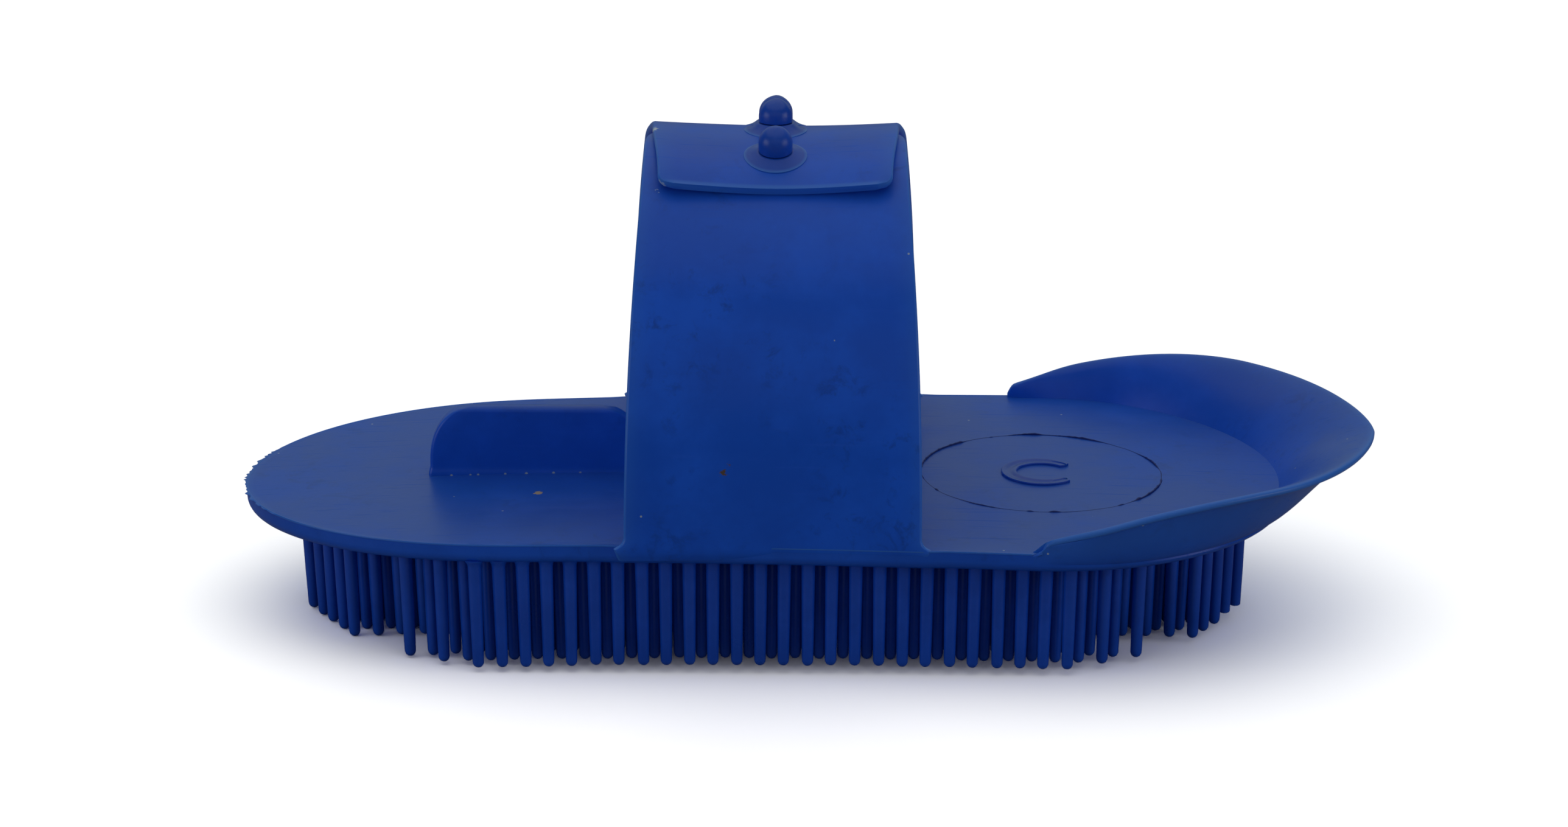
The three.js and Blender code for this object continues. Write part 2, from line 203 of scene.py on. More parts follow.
def add_studio():
    """A dim room round a bright soft light above and behind, with a white backdrop and floor."""
    world = bpy.data.worlds.new("studio")
    bpy.context.scene.world = world
    world.use_nodes = True
    tree = world.node_tree
    background = tree.nodes["Background"]
    seen = tree.nodes.new("ShaderNodeLightPath").outputs["Is Camera Ray"]
    tree.links.new(ramp(tree, seen, 0, 1, ROOM_LIGHT, 1.0), background.inputs["Strength"])
    background.inputs["Color"].default_value = (1, 1, 1, 1)
    add_sun("overhead_key", (0, 0.2, 1), 95, 0.92)
    add_area_light("back_wall", (0, 2.4, 0.75), (5, 1.1), 6, (0.8, 1, 0.92))
    add_area_light("left_softbox", (-1.7, -0.7, 0.35), (1.2, 0.8), 5)
    add_area_light("right_softbox", (1.7, -0.7, 0.35), (1.2, 0.8), 5)
    add_area_light("front_fill", (0, -2.2, 1.2), (3.4, 1.4), 4)
    bpy.context.scene.view_settings.view_transform = "Standard"

    floor = bpy.data.meshes.new("floor")
    corners = [(x * FLOOR_HALF, y * FLOOR_HALF, 0) for x, y in ((-1, -1), (1, -1), (1, 1), (-1, 1))]
    floor.from_pydata(corners, [], [(0, 1, 2, 3)])
    stage = bpy.data.objects.new("floor", floor)
    bpy.context.collection.objects.link(stage)
    floor.materials.append(floor_material())


# ---- Materials ----

# Painted glow: a lighter blue painted into the colour where light comes through thin plastic, and as a
# painted highlight on thin lips, edges and the collars' brims.
PAINTED_GLOW_BLUE = (0.05, 0.22, 0.75)  # where light comes through thin plastic
SPECK = (0.42, 0.52, 0.62)


def new_material(name):
    material = bpy.data.materials.new(name)
    material.use_nodes = True
    tree = material.node_tree
    return material, tree, tree.nodes["Principled BSDF"]


def add_node(tree, kind, **values):
    node = tree.nodes.new(kind)
    for key, value in values.items():
        if hasattr(node, key):
            setattr(node, key, value)
        else:
            node.inputs[key.replace("_", " ")].default_value = value
    return node


def noise_node(tree, coordinates, scale, detail=4, roughness=0.55, distortion=0):
    """Cloudy noise with a scale in features per metre."""
    node = add_node(tree, "ShaderNodeTexNoise", Scale=scale, Detail=detail, Roughness=roughness)
    node.inputs["Distortion"].default_value = distortion
    tree.links.new(coordinates, node.inputs["Vector"])
    return node.outputs["Fac"]


def ramp(tree, value, low, high, start=0.0, end=1.0):
    """Maps value between low and high smoothly onto start to end."""
    node = add_node(tree, "ShaderNodeMapRange", interpolation_type="SMOOTHSTEP")
    node.inputs["From Min"].default_value = low
    node.inputs["From Max"].default_value = high
    node.inputs["To Min"].default_value = start
    node.inputs["To Max"].default_value = end
    tree.links.new(value, node.inputs["Value"])
    return node.outputs["Result"]


def combine(tree, operation, first, second):
    node = add_node(tree, "ShaderNodeMath", operation=operation)
    for socket, value in zip(node.inputs, (first, second)):
        if isinstance(value, (int, float)):
            socket.default_value = value
        else:
            tree.links.new(value, socket)
    return node.outputs[0]


def mix_colour(tree, factor, first, second):
    node = add_node(tree, "ShaderNodeMix", data_type="RGBA")
    tree.links.new(factor, node.inputs["Factor"])
    for socket, value in ((node.inputs[6], first), (node.inputs[7], second)):
        if isinstance(value, tuple):
            socket.default_value = (*value, 1)
        else:
            tree.links.new(value, socket)
    return node.outputs[2]


def scratches(tree, coordinates, angle, stretch, scale):
    """Fine lines that run one way: stretched noise, cut down to its crests."""
    mapping = add_node(tree, "ShaderNodeMapping")
    mapping.inputs["Rotation"].default_value = (0.3, 0.2, angle)
    mapping.inputs["Scale"].default_value = (1, stretch, stretch)
    tree.links.new(coordinates, mapping.inputs["Vector"])
    lines = noise_node(tree, mapping.outputs["Vector"], scale, detail=2, roughness=0.4)
    return ramp(tree, lines, 0.66, 0.74)


def spot_mask(tree, coordinates, spot, size):
    """An irregular blot, size millimetres across, round a place given in millimetres."""
    distance = add_node(tree, "ShaderNodeVectorMath", operation="DISTANCE")
    tree.links.new(coordinates, distance.inputs[0])
    distance.inputs[1].default_value = place(*spot)
    ragged = noise_node(tree, coordinates, 1600, detail=3)
    reach = combine(tree, "MULTIPLY", ragged, size * MM)
    return ramp(tree, combine(tree, "SUBTRACT", reach, distance.outputs["Value"]), -0.1 * MM, 0.1 * MM)


def plastic(name, deep, pale, dust, dust_amount, gloss, shine, blotches, speck_amount, spots=()):
    """Soft moulded polyethylene: mottled, with dust on the faces that look up, scratches and specks.

    gloss is the roughness, shine the strength of the reflections seen head on, and spots a list of
    (place in millimetres, size, colour) for single marks.
    """
    material, tree, shader = new_material(name)
    coordinates = add_node(tree, "ShaderNodeTexCoord").outputs["Object"]

    cloud = noise_node(tree, coordinates, 55, detail=6, roughness=0.6)
    colour = mix_colour(tree, ramp(tree, cloud, 0.35, 0.7), deep, pale)
    dark = tuple(c * 0.55 for c in deep)
    mottle = noise_node(tree, coordinates, 190, detail=8, roughness=0.72, distortion=0.4)
    region = noise_node(tree, coordinates, 28, detail=2)
    patch = combine(tree, "MULTIPLY", ramp(tree, mottle, 0.52, 0.68), ramp(tree, region, 0.42, 0.62))
    colour = mix_colour(tree, combine(tree, "MULTIPLY", patch, blotches), colour, dark)

    normal = add_node(tree, "ShaderNodeNewGeometry").outputs["Normal"]
    split = add_node(tree, "ShaderNodeSeparateXYZ")
    tree.links.new(normal, split.inputs[0])
    upward = ramp(tree, split.outputs["Z"], 0.55, 1.0)
    fine = noise_node(tree, coordinates, 900, detail=5, roughness=0.75)
    dusty = combine(tree, "MULTIPLY", upward, ramp(tree, fine, 0.2, 0.8, 0.65, 1.0))
    colour = mix_colour(tree, combine(tree, "MULTIPLY", dusty, dust_amount), colour, dust)

    marks = scratches(tree, coordinates, 0.7, 22, 60)
    marks = combine(tree, "MAXIMUM", marks, scratches(tree, coordinates, -0.9, 30, 45))
    colour = mix_colour(tree, combine(tree, "MULTIPLY", marks, 0.12), colour, pale)

    specks = add_node(tree, "ShaderNodeTexVoronoi", Scale=230)
    specks.inputs["Randomness"].default_value = 1
    tree.links.new(coordinates, specks.inputs["Vector"])
    dot = ramp(tree, specks.outputs["Distance"], 0.035, 0.055, 1.0, 0.0)
    chosen = add_node(tree, "ShaderNodeSeparateColor")
    tree.links.new(specks.outputs["Color"], chosen.inputs[0])
    rare = combine(tree, "GREATER_THAN", chosen.outputs[0], 1 - speck_amount)
    colour = mix_colour(tree, combine(tree, "MULTIPLY", dot, rare), colour, SPECK)
    # Painted glow: the thin attribute mixes in the lighter blue, standing in for light coming through thin
    # plastic and for highlights on edges.
    thin = add_node(tree, "ShaderNodeAttribute", attribute_name="thin").outputs["Fac"]
    colour = mix_colour(tree, combine(tree, "MULTIPLY", thin, 0.75), colour, PAINTED_GLOW_BLUE)
    for spot, size, spot_colour in spots:
        colour = mix_colour(tree, spot_mask(tree, coordinates, spot, size), colour, spot_colour)
    tree.links.new(colour, shader.inputs["Base Color"])

    rough = ramp(tree, cloud, 0.3, 0.75, gloss - 0.05, gloss + 0.07)
    rough = combine(tree, "ADD", rough, combine(tree, "MULTIPLY", dusty, 0.05))
    rough = combine(tree, "ADD", rough, combine(tree, "MULTIPLY", marks, 0.12))
    tree.links.new(rough, shader.inputs["Roughness"])
    shader.inputs["IOR"].default_value = 1.51
    shader.inputs["Specular IOR Level"].default_value = shine
    shader.inputs["Subsurface Weight"].default_value = 0.12
    shader.inputs["Subsurface Radius"].default_value = (0.2, 0.6, 1.0)
    shader.inputs["Subsurface Scale"].default_value = 0.0022

    skin = noise_node(tree, coordinates, 1500, detail=3, roughness=0.6)
    swell = noise_node(tree, coordinates, 130, detail=3)
    skin, swell = combine(tree, "MULTIPLY", skin, 0.05), combine(tree, "MULTIPLY", swell, 0.35)
    height = combine(tree, "ADD", skin, swell)
    height = combine(tree, "SUBTRACT", height, combine(tree, "MULTIPLY", marks, 0.03))
    bump = add_node(tree, "ShaderNodeBump", Strength=0.35, Distance=0.0004)
    tree.links.new(height, bump.inputs["Height"])
    tree.links.new(bump.outputs["Normal"], shader.inputs["Normal"])
    return material


def floor_material():
    """Burnt out to white for the camera, but grey in the plastic's reflections, as in a cut-out shot."""
    material, tree, shader = new_material("pale_floor")
    coordinates = add_node(tree, "ShaderNodeTexCoord").outputs["Object"]
    grain = noise_node(tree, coordinates, 40, detail=3)
    white = mix_colour(tree, grain, *FLOOR_SEEN)
    seen = tree.nodes.new("ShaderNodeLightPath").outputs["Is Camera Ray"]
    tree.links.new(mix_colour(tree, seen, FLOOR_REFLECTED, white), shader.inputs["Base Color"])
    shader.inputs["Roughness"].default_value = 0.9
    shader.inputs["Specular IOR Level"].default_value = 0.1
    return material


# ---- Mesh helpers ----

def make_piece(name, points, faces, material, sharp_angle=38, thin=None):
    """A named piece from points in millimetres, smooth apart from edges sharper than the angle.

    thin holds a value from 0 to 1 for each point, and is 1 where the plastic is thin and lets light through;
    there a lighter blue is painted in as glow.
    """
    mesh = bpy.data.meshes.new(name)
    mesh.from_pydata([place(*p) for p in points], [], faces)
    if thin:
        mesh.attributes.new("thin", "FLOAT", "POINT").data.foreach_set("value", thin)
    shell = bmesh.new()
    shell.from_mesh(mesh)
    bmesh.ops.remove_doubles(shell, verts=shell.verts, dist=0.002 * MM)
    bmesh.ops.dissolve_degenerate(shell, edges=shell.edges, dist=0.001 * MM)
    bmesh.ops.recalc_face_normals(shell, faces=shell.faces)
    shell.to_mesh(mesh)
    shell.free()
    mesh.polygons.foreach_set("use_smooth", [True] * len(mesh.polygons))
    mesh.set_sharp_from_angle(angle=math.radians(sharp_angle))
    mesh.materials.append(material)
    piece = bpy.data.objects.new(name, mesh)
    bpy.context.collection.objects.link(piece)
    return piece


def strip_faces(rows, columns, closed_rows=False, closed_columns=True, start=0):
    """Quads between rows of points that follow one another in a list."""
    faces = []
    for i in range(rows if closed_rows else rows - 1):
        for j in range(columns if closed_columns else columns - 1):
            a = start + i * columns + j
            b = start + i * columns + (j + 1) % columns
            c = start + (i + 1) % rows * columns + (j + 1) % columns
            d = start + (i + 1) % rows * columns + j
            faces.append((a, b, c, d))
    return faces


def loft(name, rings, material, sharp_angle=38, thin=None):
    """A skin through rings of points, with a face across each end."""
    count = len(rings[0])
    points = [p for ring in rings for p in ring]
    faces = strip_faces(len(rings), count)
    faces.append(tuple(reversed(range(count))))
    faces.append(tuple(range(len(points) - count, len(points))))
    return make_piece(name, points, faces, material, sharp_angle, thin)


def spread(start, end, count):
    return [start + (end - start) * i / count for i in range(count + 1)]


def smooth(value):
    value = min(1, max(0, value))
    return value * value * (3 - 2 * value)


def wobble(x, y, z, size, seed=0.0):
    """Smooth noise between -1 and 1 that changes over about size millimetres."""
    return noise.noise(Vector((x / size + seed, y / size, z / size)))


# ---- Plate and scoop ----

def plate_top(x):
    return -(LEFT_BOW if x < 0 else RIGHT_BOW) * x * x


def plate_spread(x):
    return TAPER * min(TAPER_END, max(-TAPER_END, x))


def rim_height(x, start):
    """Rises from a rounded corner at its start to its full height, and drops a little to the tip."""
    left = 1 - min(1, max(0, (x - start) / (SCOOP_FULL_HEIGHT_AT - start)))
    past = max(0, (x - SCOOP_FULL_HEIGHT_AT) / (SCOOP_TIP - SCOOP_FULL_HEIGHT_AT))
    corner = 1 - min(1, max(0, (x - start) / 1.6))
    rise = SCOOP_START_HEIGHT * math.sqrt(1 - corner * corner)
    return rise + (SCOOP_HEIGHT - SCOOP_START_HEIGHT) * (1 - left * left) - SCOOP_TIP_DROP * past


def rim_half_width(x, start):
    """The rim starts flush with the plate's side and widens into a blunt oval."""
    share = max(0, 1 - (x / SCOOP_TIP) ** SCOOP_BLUNTNESS)
    full = SCOOP_HALF_WIDTH * share ** (1 / SCOOP_ROUNDNESS)
    side = HALF_WIDTH + plate_spread(x) + 0.3
    return side + (full - side) * smooth((x - start) / 14)


def outline_stations():
    """Places round the plate's outline: (point, outward normal, spine x, scoop angle or None)."""
    stations = []
    right_length = RIGHT_TIP - RIGHT_STRAIGHT
    left_length = LEFT_STRAIGHT - LEFT_TIP
    corner = [0, 0.003, 0.007, 0.012, 0.018]
    turns = [c - math.pi / 2 for c in corner] + spread(0.03 - math.pi / 2, math.pi / 2 - 0.03, 144)
    for angle in turns + [math.pi / 2 - c for c in reversed(corner)]:
        cos, sin = max(0, math.cos(angle)), math.sin(angle)
        x = RIGHT_STRAIGHT + right_length * cos
        width = HALF_WIDTH + plate_spread(x)
        out = Vector((cos / right_length, sin / width)).normalized()
        stations.append((Vector((x, width * sin)), out, RIGHT_STRAIGHT, angle))
    straight = spread(RIGHT_STRAIGHT, LEFT_STRAIGHT, 92)
    stations += [side_station(x, 1) for x in straight[:-1]]
    for angle in spread(math.pi / 2, 3 * math.pi / 2, 220):
        cos, sin = min(0, math.cos(angle)), math.sin(angle)
        x = LEFT_STRAIGHT + left_length * cos
        width = HALF_WIDTH + plate_spread(x)
        out = Vector((cos / left_length, sin / width)).normalized()
        stations.append((Vector((x, width * sin)), out, LEFT_STRAIGHT, None))
    stations += [side_station(x, -1) for x in reversed(straight[:-1])]
    return stations


def side_station(x, side):
    bulge = FOOT_BULGE * smooth((FOOT_HALF_WIDTH + 5 - abs(x)) / 5)
    width = HALF_WIDTH + plate_spread(x) + bulge
    return Vector((x, side * width)), Vector((0, side)), x, None


def torn_flash(point):
    """Ragged remains of the moulding flash at the left tip, as extra reach of the parting line."""
    near_tip = smooth((LEFT_TIP + 9 - point.x) / 7)
    ragged = abs(wobble(point.x, point.y, 0, 1.1, 5)) + 0.6 * abs(wobble(point.x, point.y, 0, 0.5, 9))
    return near_tip * min(0.8, max(0, ragged - 0.1) * 1.5)


def body_profile(point, out, spine_x, angle):
    """Points from the middle of the top face, over the edge or the scoop's wall, to the middle below."""
    in_scoop = angle is not None
    ramp_in = smooth(math.cos(angle) / 0.45) if in_scoop else 0
    base = point - out * SCOOP_WALL * (1 - ramp_in) if in_scoop else point.copy()
    edge = base if in_scoop else point - out * EDGE_INSET
    top = []
    for part in TOP_PARTS:
        x = spine_x + (edge.x - spine_x) * part
        y = edge.y * part
        top.append((x, y, plate_top(x) + 0.05 * wobble(x, y, 0, 11)))
    if in_scoop:
        ring = wall_profile(base, out, angle)
        side = SCOOP_WALL * ramp_in
    else:
        ring = edge_profile(point, out)
        side = 0
    nose = []
    for turn in spread(0, math.pi / 2, NOSE_STEPS)[1:]:
        push = side - (side + NOSE_REACH) * (1 - math.cos(turn))
        place_on = point + out * push
        depth = -EDGE_DEPTH + (EDGE_DEPTH - PLATE_DEPTH) * math.sin(turn)
        nose.append((place_on.x, place_on.y, plate_top(point.x) + depth))
    below = []
    last = point - out * NOSE_REACH
    for part in BELOW_PARTS:
        x = spine_x + (last.x - spine_x) * part
        below.append((x, last.y * part, plate_top(x) - PLATE_DEPTH))
    return top + ring + nose + below


def wall_profile(base, out, angle):
    """Up the scoop's inner face, over its round lip and down the outer face."""
    start = SCOOP_START - SCOOP_SKEW * math.sin(angle)
    rim_x = start + (SCOOP_TIP - start) * max(0, math.cos(angle))
    rim_y = math.copysign(rim_half_width(rim_x, start), math.sin(angle)) if abs(math.sin(angle)) > 1e-9 else 0
    inner_rim = Vector((rim_x, rim_y)) - out * SCOOP_WALL
    reach = max(0.01, (inner_rim - base).dot(out))
    low, high = plate_top(base.x), rim_height(rim_x, start)
    rise = max(0.01, high - SCOOP_WALL / 2 - low)
    upright = smooth(rise / 1.5)  # 0 at the wall's low start, where it stands straight up

    def wall(part, across, beyond=0.0):
        """A place part of the way up, moved across the wall's thickness and beyond its end."""
        spot = base.lerp(inner_rim, part)
        z = low + rise * (0.25 * part + 0.75 * (1 - (1 - part) ** 2))
        along = Vector((reach * upright, max(0.3, rise) * (0.25 + 1.5 * (1 - part)))).normalized()
        spot = spot + out * (along.y * across + along.x * beyond)
        return (spot.x, spot.y, z - along.x * across + along.y * beyond)

    ring = [wall(i / WALL_STEPS, 0) for i in range(1, WALL_STEPS + 1)]
    radius = SCOOP_WALL / 2
    for turn in spread(0, math.pi, LIP_STEPS)[1:-1]:
        ring.append(wall(1, radius * (1 - math.cos(turn)), radius * math.sin(turn)))
    for i in range(WALL_STEPS, -1, -1):
        part = i / WALL_STEPS
        foot = (1 - part) ** 2
        x, y, z = wall(part, SCOOP_WALL)
        ring.append((x, y, z + (low - EDGE_DEPTH - z) * foot))
    return ring


def edge_profile(point, out):
    """Over the plate's crisp top edge, with its torn flash, and down its side."""
    flash = torn_flash(point)
    low = plate_top(point.x)
    count = 2 * WALL_STEPS + LIP_STEPS
    ring = []
    for i in range(1, count + 1):
        part = i / count
        if part < 0.3:
            turn = part / 0.3
            push, drop = EDGE_INSET * (turn - 1), -0.1 * math.sin(math.pi * turn / 2)
        elif part < 0.5:
            turn = math.pi * (part - 0.3) / 0.2
            push, drop = 0.05 * math.sin(turn) + flash * math.sin(turn) ** 2, -0.1 + 0.4 * turn / math.pi
        else:
            push, drop = 0, 0.3 + (EDGE_DEPTH - 0.3) * (part - 0.5) / 0.5
        place_on = point + out * push
        ring.append((place_on.x, place_on.y, low - drop))
    return ring


def painted_glow_share(station, index):
    """How much glow is painted into the colour at a point of a profile, for light coming through: most at the
    scoop's lip and the top edge.
    """
    point, _, _, angle = station
    along = index - len(TOP_PARTS)
    if angle is None:
        return 0.7 if 0 <= along <= WALL_STEPS else 0.3 if along == -1 else 0
    lip = WALL_STEPS + (LIP_STEPS - 1) / 2
    edge = smooth((LIP_STEPS / 2 + 1.5 - abs(along - lip)) / 2)
    outside = 0.4 * smooth((along - lip) / 3) * smooth((2 * WALL_STEPS + LIP_STEPS - along) / 10)
    inside = 0.3 * smooth((along - lip + 9) / 9) * smooth((lip + 1 - along) / 2)
    return max(edge, outside, inside) * smooth((math.cos(angle) + 0.05) / 0.1)


def build_body(material):
    stations = outline_stations()
    profiles = [body_profile(*station) for station in stations]
    count = len(profiles[0])
    points = [p for profile in profiles for p in profile]
    faces = strip_faces(len(profiles), count, closed_rows=True, closed_columns=False)
    thin = [painted_glow_share(station, i) for station in stations for i in range(count)]
    piece = make_piece("moulded_body", points, faces, material, sharp_angle=32, thin=thin)
    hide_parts("plate", "scoop_rim")
    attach(piece, "comb")


# ---- Rib, roundel and mark ----

def build_rib(material):
    left, right = millimetres(rib_low[0], 0), millimetres(rib_high[0], 0)
    top = millimetres(rib_high[2], 2)
    corner_width, corner_height, right_corner, rounding = 7.4, 10, 6, 0.6
    half = (rib_high[1] - rib_low[1]) / 2 / MM
    levels = [-2.6, -1.6, -0.9] + spread(-0.4, 1.4, 6) + spread(2, top - 5, 6)
    levels += [top - 4.4 * math.cos(t) for t in spread(0.1, math.pi / 2, 14)]
    rings = []
    for z in levels:
        rise = min(1, max(0, (z - (top - corner_height)) / corner_height))
        start = left + corner_width * (1 - math.sqrt(1 - rise * rise))
        rise = min(1, max(0, (z - (top - right_corner)) / right_corner))
        end = right - right_corner * (1 - math.sqrt(1 - rise * rise))
        close = max(0, 1 - (top - z) / rounding)
        round_off = rounding * (1 - math.sqrt(max(0, 1 - close * close)))
        fillet = 0.25 * max(0, 1 - max(0, z + 0.6) / 1.2) ** 2
        rings.append(rounded_ring(start - fillet, end + fillet, half - round_off + fillet, z))
    piece = loft("finger_rib_moulding", rings, material, sharp_angle=50)
    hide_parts("finger_rib")
    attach(piece, "comb")


def rounded_ring(left, right, half, z):
    """A level ring: straight sides in steps, and ends with rounded corners."""
    corner = min(0.7, half * 0.6)
    ring = []
    arcs = (
        (right - corner, half - corner, 0),
        (left + corner, half - corner, math.pi / 2),
        (left + corner, -half + corner, math.pi),
        (right - corner, -half + corner, 3 * math.pi / 2),
    )
    for index, (x, y, start) in enumerate(arcs):
        for turn in spread(start, start + math.pi / 2, 4):
            ring.append((x + corner * math.cos(turn), y + corner * math.sin(turn), z))
        following = arcs[(index + 1) % 4][0]
        for part in spread(0, 1, 10)[1:-1] if index in (0, 2) else []:
            side = half if index == 0 else -half
            ring.append((x + (following - x) * part, side, z))
    return ring


def build_roundel(material):
    """The witness line of the round mould insert: a thin ragged ridge, torn here and there. Its dark blue is
    painted shade, standing in for the shadow of a groove along the line.
    """
    points = []
    steps = 720
    for i in range(steps):
        turn = 2 * math.pi * i / steps
        cos, sin = math.cos(turn), math.sin(turn)
        ragged = abs(wobble(cos * 22, sin * 22, 3, 0.9, 2))
        strong = smooth((wobble(cos * 22, sin * 22, 6, 9, 4) + 0.35) / 0.6)
        tuft = max(0, wobble(cos * 22, sin * 22, 8, 2.6, 7) - 0.3)
        rise = 0.03 + 0.2 * strong + 0.22 * ragged * strong + 0.7 * tuft
        width = 0.1 + 0.08 * strong + 0.1 * ragged + 0.5 * tuft
        sway = 0.16 * wobble(cos * 22, sin * 22, 1, 4, 1)
        for reach, height in ((-width, -0.15), (-width * 0.75, rise), (width * 0.3, rise), (width, -0.15)):
            radius = ROUNDEL_RADIUS + reach + sway
            x = ROUNDEL_X + radius * cos
            points.append((x, radius * sin, plate_top(x) + height))
    faces = strip_faces(steps, 4, closed_rows=True)
    piece = make_piece("roundel_witness_line", points, faces, material, sharp_angle=60)
    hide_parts("roundel")
    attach(piece, "comb")


def build_horseshoe(material):
    """A raised horseshoe with a groove, opening to the right."""
    outer, inner, opening, rise = 7.5, 4.6, 0.7, 0.45
    rings = []
    turns = spread(opening, 2 * math.pi - opening, 96)
    for index, turn in enumerate(turns):
        share = index / (len(turns) - 1)
        end = min(share, 1 - share)
        waist = 1 - 0.18 * (1 - smooth(end / 0.3))
        tip = math.sqrt(max(0.02, 1 - max(0, 1 - end / 0.018) ** 2))
        middle, half = (outer + inner) / 2, (outer - inner) / 2 * waist * tip
        section = [
            (-half, -0.2),
            (-half, rise - 0.12),
            (-half + 0.12, rise),
            (-0.45 * half, rise),
            (-0.3 * half, rise - 0.16),
            (0.3 * half, rise - 0.16),
            (0.45 * half, rise),
            (half - 0.12, rise),
            (half, rise - 0.12),
            (half, -0.2),
        ]
        ring = []
        for reach, height in section:
            x = ROUNDEL_X + (middle + reach) * math.cos(turn)
            ring.append((x, (middle + reach) * math.sin(turn), plate_top(x) + height))
        rings.append(ring)
    piece = loft("horseshoe_relief", rings, material, sharp_angle=40)
    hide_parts("horseshoe_mark")
    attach(piece, "comb")


# ---- Teeth ----

def tooth_rings(x, y, rng):
    """One tooth: a filleted root, a slightly tapered stem and a round tip, square to the plate."""
    bow = LEFT_BOW if x < 0 else RIGHT_BOW
    lean_x = -2 * bow * x + rng.gauss(0, 0.0035)
    lean_y = rng.gauss(0, 0.0035)
    level = LEFT_LEVEL if x < 0 else RIGHT_LEVEL
    reach = min(TOOTH_REACH, level + plate_top(x)) - rng.uniform(0, 0.16)
    cut_short = x > 84 and abs(y) < 10
    if cut_short:
        reach -= 1.1
    profile = [(TOOTH_RADIUS + 0.75, PLATE_DEPTH - 0.5), (TOOTH_RADIUS + 0.42, PLATE_DEPTH + 0.05)]
    profile += [(TOOTH_RADIUS + 0.14, PLATE_DEPTH + 0.45), (TOOTH_RADIUS + 0.02, PLATE_DEPTH + 1.1)]
    tip = TOOTH_RADIUS * 0.84
    profile += [(TOOTH_RADIUS * 0.98, 9), (TOOTH_RADIUS * 0.93, 16)]
    if cut_short:
        profile += [(tip, reach - 0.15), (tip - 0.15, reach)]
    else:
        profile += [(tip * math.cos(t), reach - tip + tip * math.sin(t)) for t in spread(0, 1.35, 4)]
    rings = []
    for radius, depth in profile:
        ring = []
        for turn in spread(0, 2 * math.pi, 14)[:-1]:
            px = x + lean_x * depth + radius * math.cos(turn)
            py = y + lean_y * (depth - PLATE_DEPTH) + radius * math.sin(turn)
            ring.append((px, py, plate_top(x) - depth))
        rings.append(ring)
    return rings


def build_tooth_row(name, y, count, material, rng):
    points, faces = [], []
    for i in range(count):
        rings = tooth_rings((i - (count - 1) / 2) * TOOTH_PITCH, y, rng)
        start, sides = len(points), len(rings[0])
        points += [p for ring in rings for p in ring]
        faces += strip_faces(len(rings), sides, start=start)
        faces.append(tuple(range(start, start + sides)))
        faces.append(tuple(range(len(points) - sides, len(points))))
    piece = make_piece(name + "_teeth", points, faces, material)
    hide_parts(name)
    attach(piece, "comb")


def build_teeth(material):
    rng = random.Random(7)
    for index, (distance, count) in enumerate(TOOTH_ROWS, start=1):
        build_tooth_row(f"tooth_row_front_{index}", -distance, count, material, rng)
        build_tooth_row(f"tooth_row_back_{index}", distance, count, material, rng)


# ---- Strap ----

def arch(flap, angle, lift=0.0):
    """A place on a flap's middle surface in (y, z), and its outward normal. Angle 0 is the front root."""
    front = angle < math.pi / 2
    own_side = front if flap == "front" else not front
    lap = -LAP if flap == "front" else LAP
    span = HALF_SPAN + (0 if own_side else lap)
    crown = CROWN - (LAP if flap == "front" else 0)
    cos, sin = abs(math.cos(angle)), max(0, math.sin(angle))
    side = -1 if front else 1
    normal = Vector((side * crown * cos ** (2 - ARCH_POWER), span * sin ** (2 - ARCH_POWER))).normalized()
    return Vector((side * span * cos ** ARCH_POWER, crown * sin ** ARCH_POWER)) + normal * lift, normal


def arch_angle(flap, y):
    own_side = y < 0 if flap == "front" else y > 0
    lap = -LAP if flap == "front" else LAP
    share = (abs(y) / (HALF_SPAN + (0 if own_side else lap))) ** (1 / ARCH_POWER)
    return math.acos(math.copysign(share, -y))


def strap_half_width(height, crown_width):
    rise = min(1, max(0, height / CROWN))
    fillet = min(1, max(0, 1 - height / ROOT_FILLET))
    flare = ROOT_FILLET * (1 - math.sqrt(1 - fillet * fillet))
    return (ROOT_WIDTH + (crown_width - ROOT_WIDTH) * rise ** NARROWING) / 2 + flare


def crown_cup(y, flap):
    """How far the strap's long edges curl up at the crown, more towards the tab's free end."""
    if flap == "front":
        return 0.8 * math.exp(-((y / 20) ** 2))
    return 0.7 * smooth((PEEL_LINE + 6 - y) / 26) + 0.55 * smooth((-y - 2) / 15)


def strap_ring(flap, angle, half_width, seed=0.0):
    """One cross-section of a flap: flat faces in steps, with rounded long edges."""
    thickness = STRAP_THICKNESS / 2
    across = 26
    edge = 0.55
    section = [(-1 + 2 * i / across, thickness) for i in range(across + 1)]
    bends = [(thickness * math.cos(t), edge * math.sin(t)) for t in spread(0, math.pi, 6)[1:-1]]
    ring = []

    def put(x, lift):
        centre, _ = arch(flap, angle)
        curl = crown_cup(centre.x, flap) * (x / half_width) ** 2
        wave = 0.16 * wobble(x, centre.x, centre.y, 17, seed) * smooth(centre.y / 12)
        spot, _ = arch(flap, angle, lift + curl + wave)
        low = max(0, 1 - centre.y / CROWN) ** 2
        ring.append((x, spot.x + math.copysign(plate_spread(x), spot.x) * low, spot.y))

    for part, lift in section:
        put(part * (half_width - edge), lift)
    for lift, reach in bends:
        put(half_width - edge + reach, lift)
    for part, lift in reversed(section):
        put(part * (half_width - edge), -lift)
    for lift, reach in reversed(bends):
        put(-(half_width - edge + reach), lift)
    return ring


def strap_painted_glow(rings, end_rings):
    """Painted glow, for light coming through a flap's long edges, and through its free end when that is
    rounded off.
    """
    values = []
    for index, ring in enumerate(rings):
        half = max(x for x, _, _ in ring)
        at_end = 0.8 if index >= len(rings) - end_rings else 0
        for x, _, _ in ring:
            inwards = half - abs(x)
            values.append(max(0.3 * smooth((3.5 - inwards) / 3), smooth((0.6 - inwards) / 0.5), at_end))
    return values


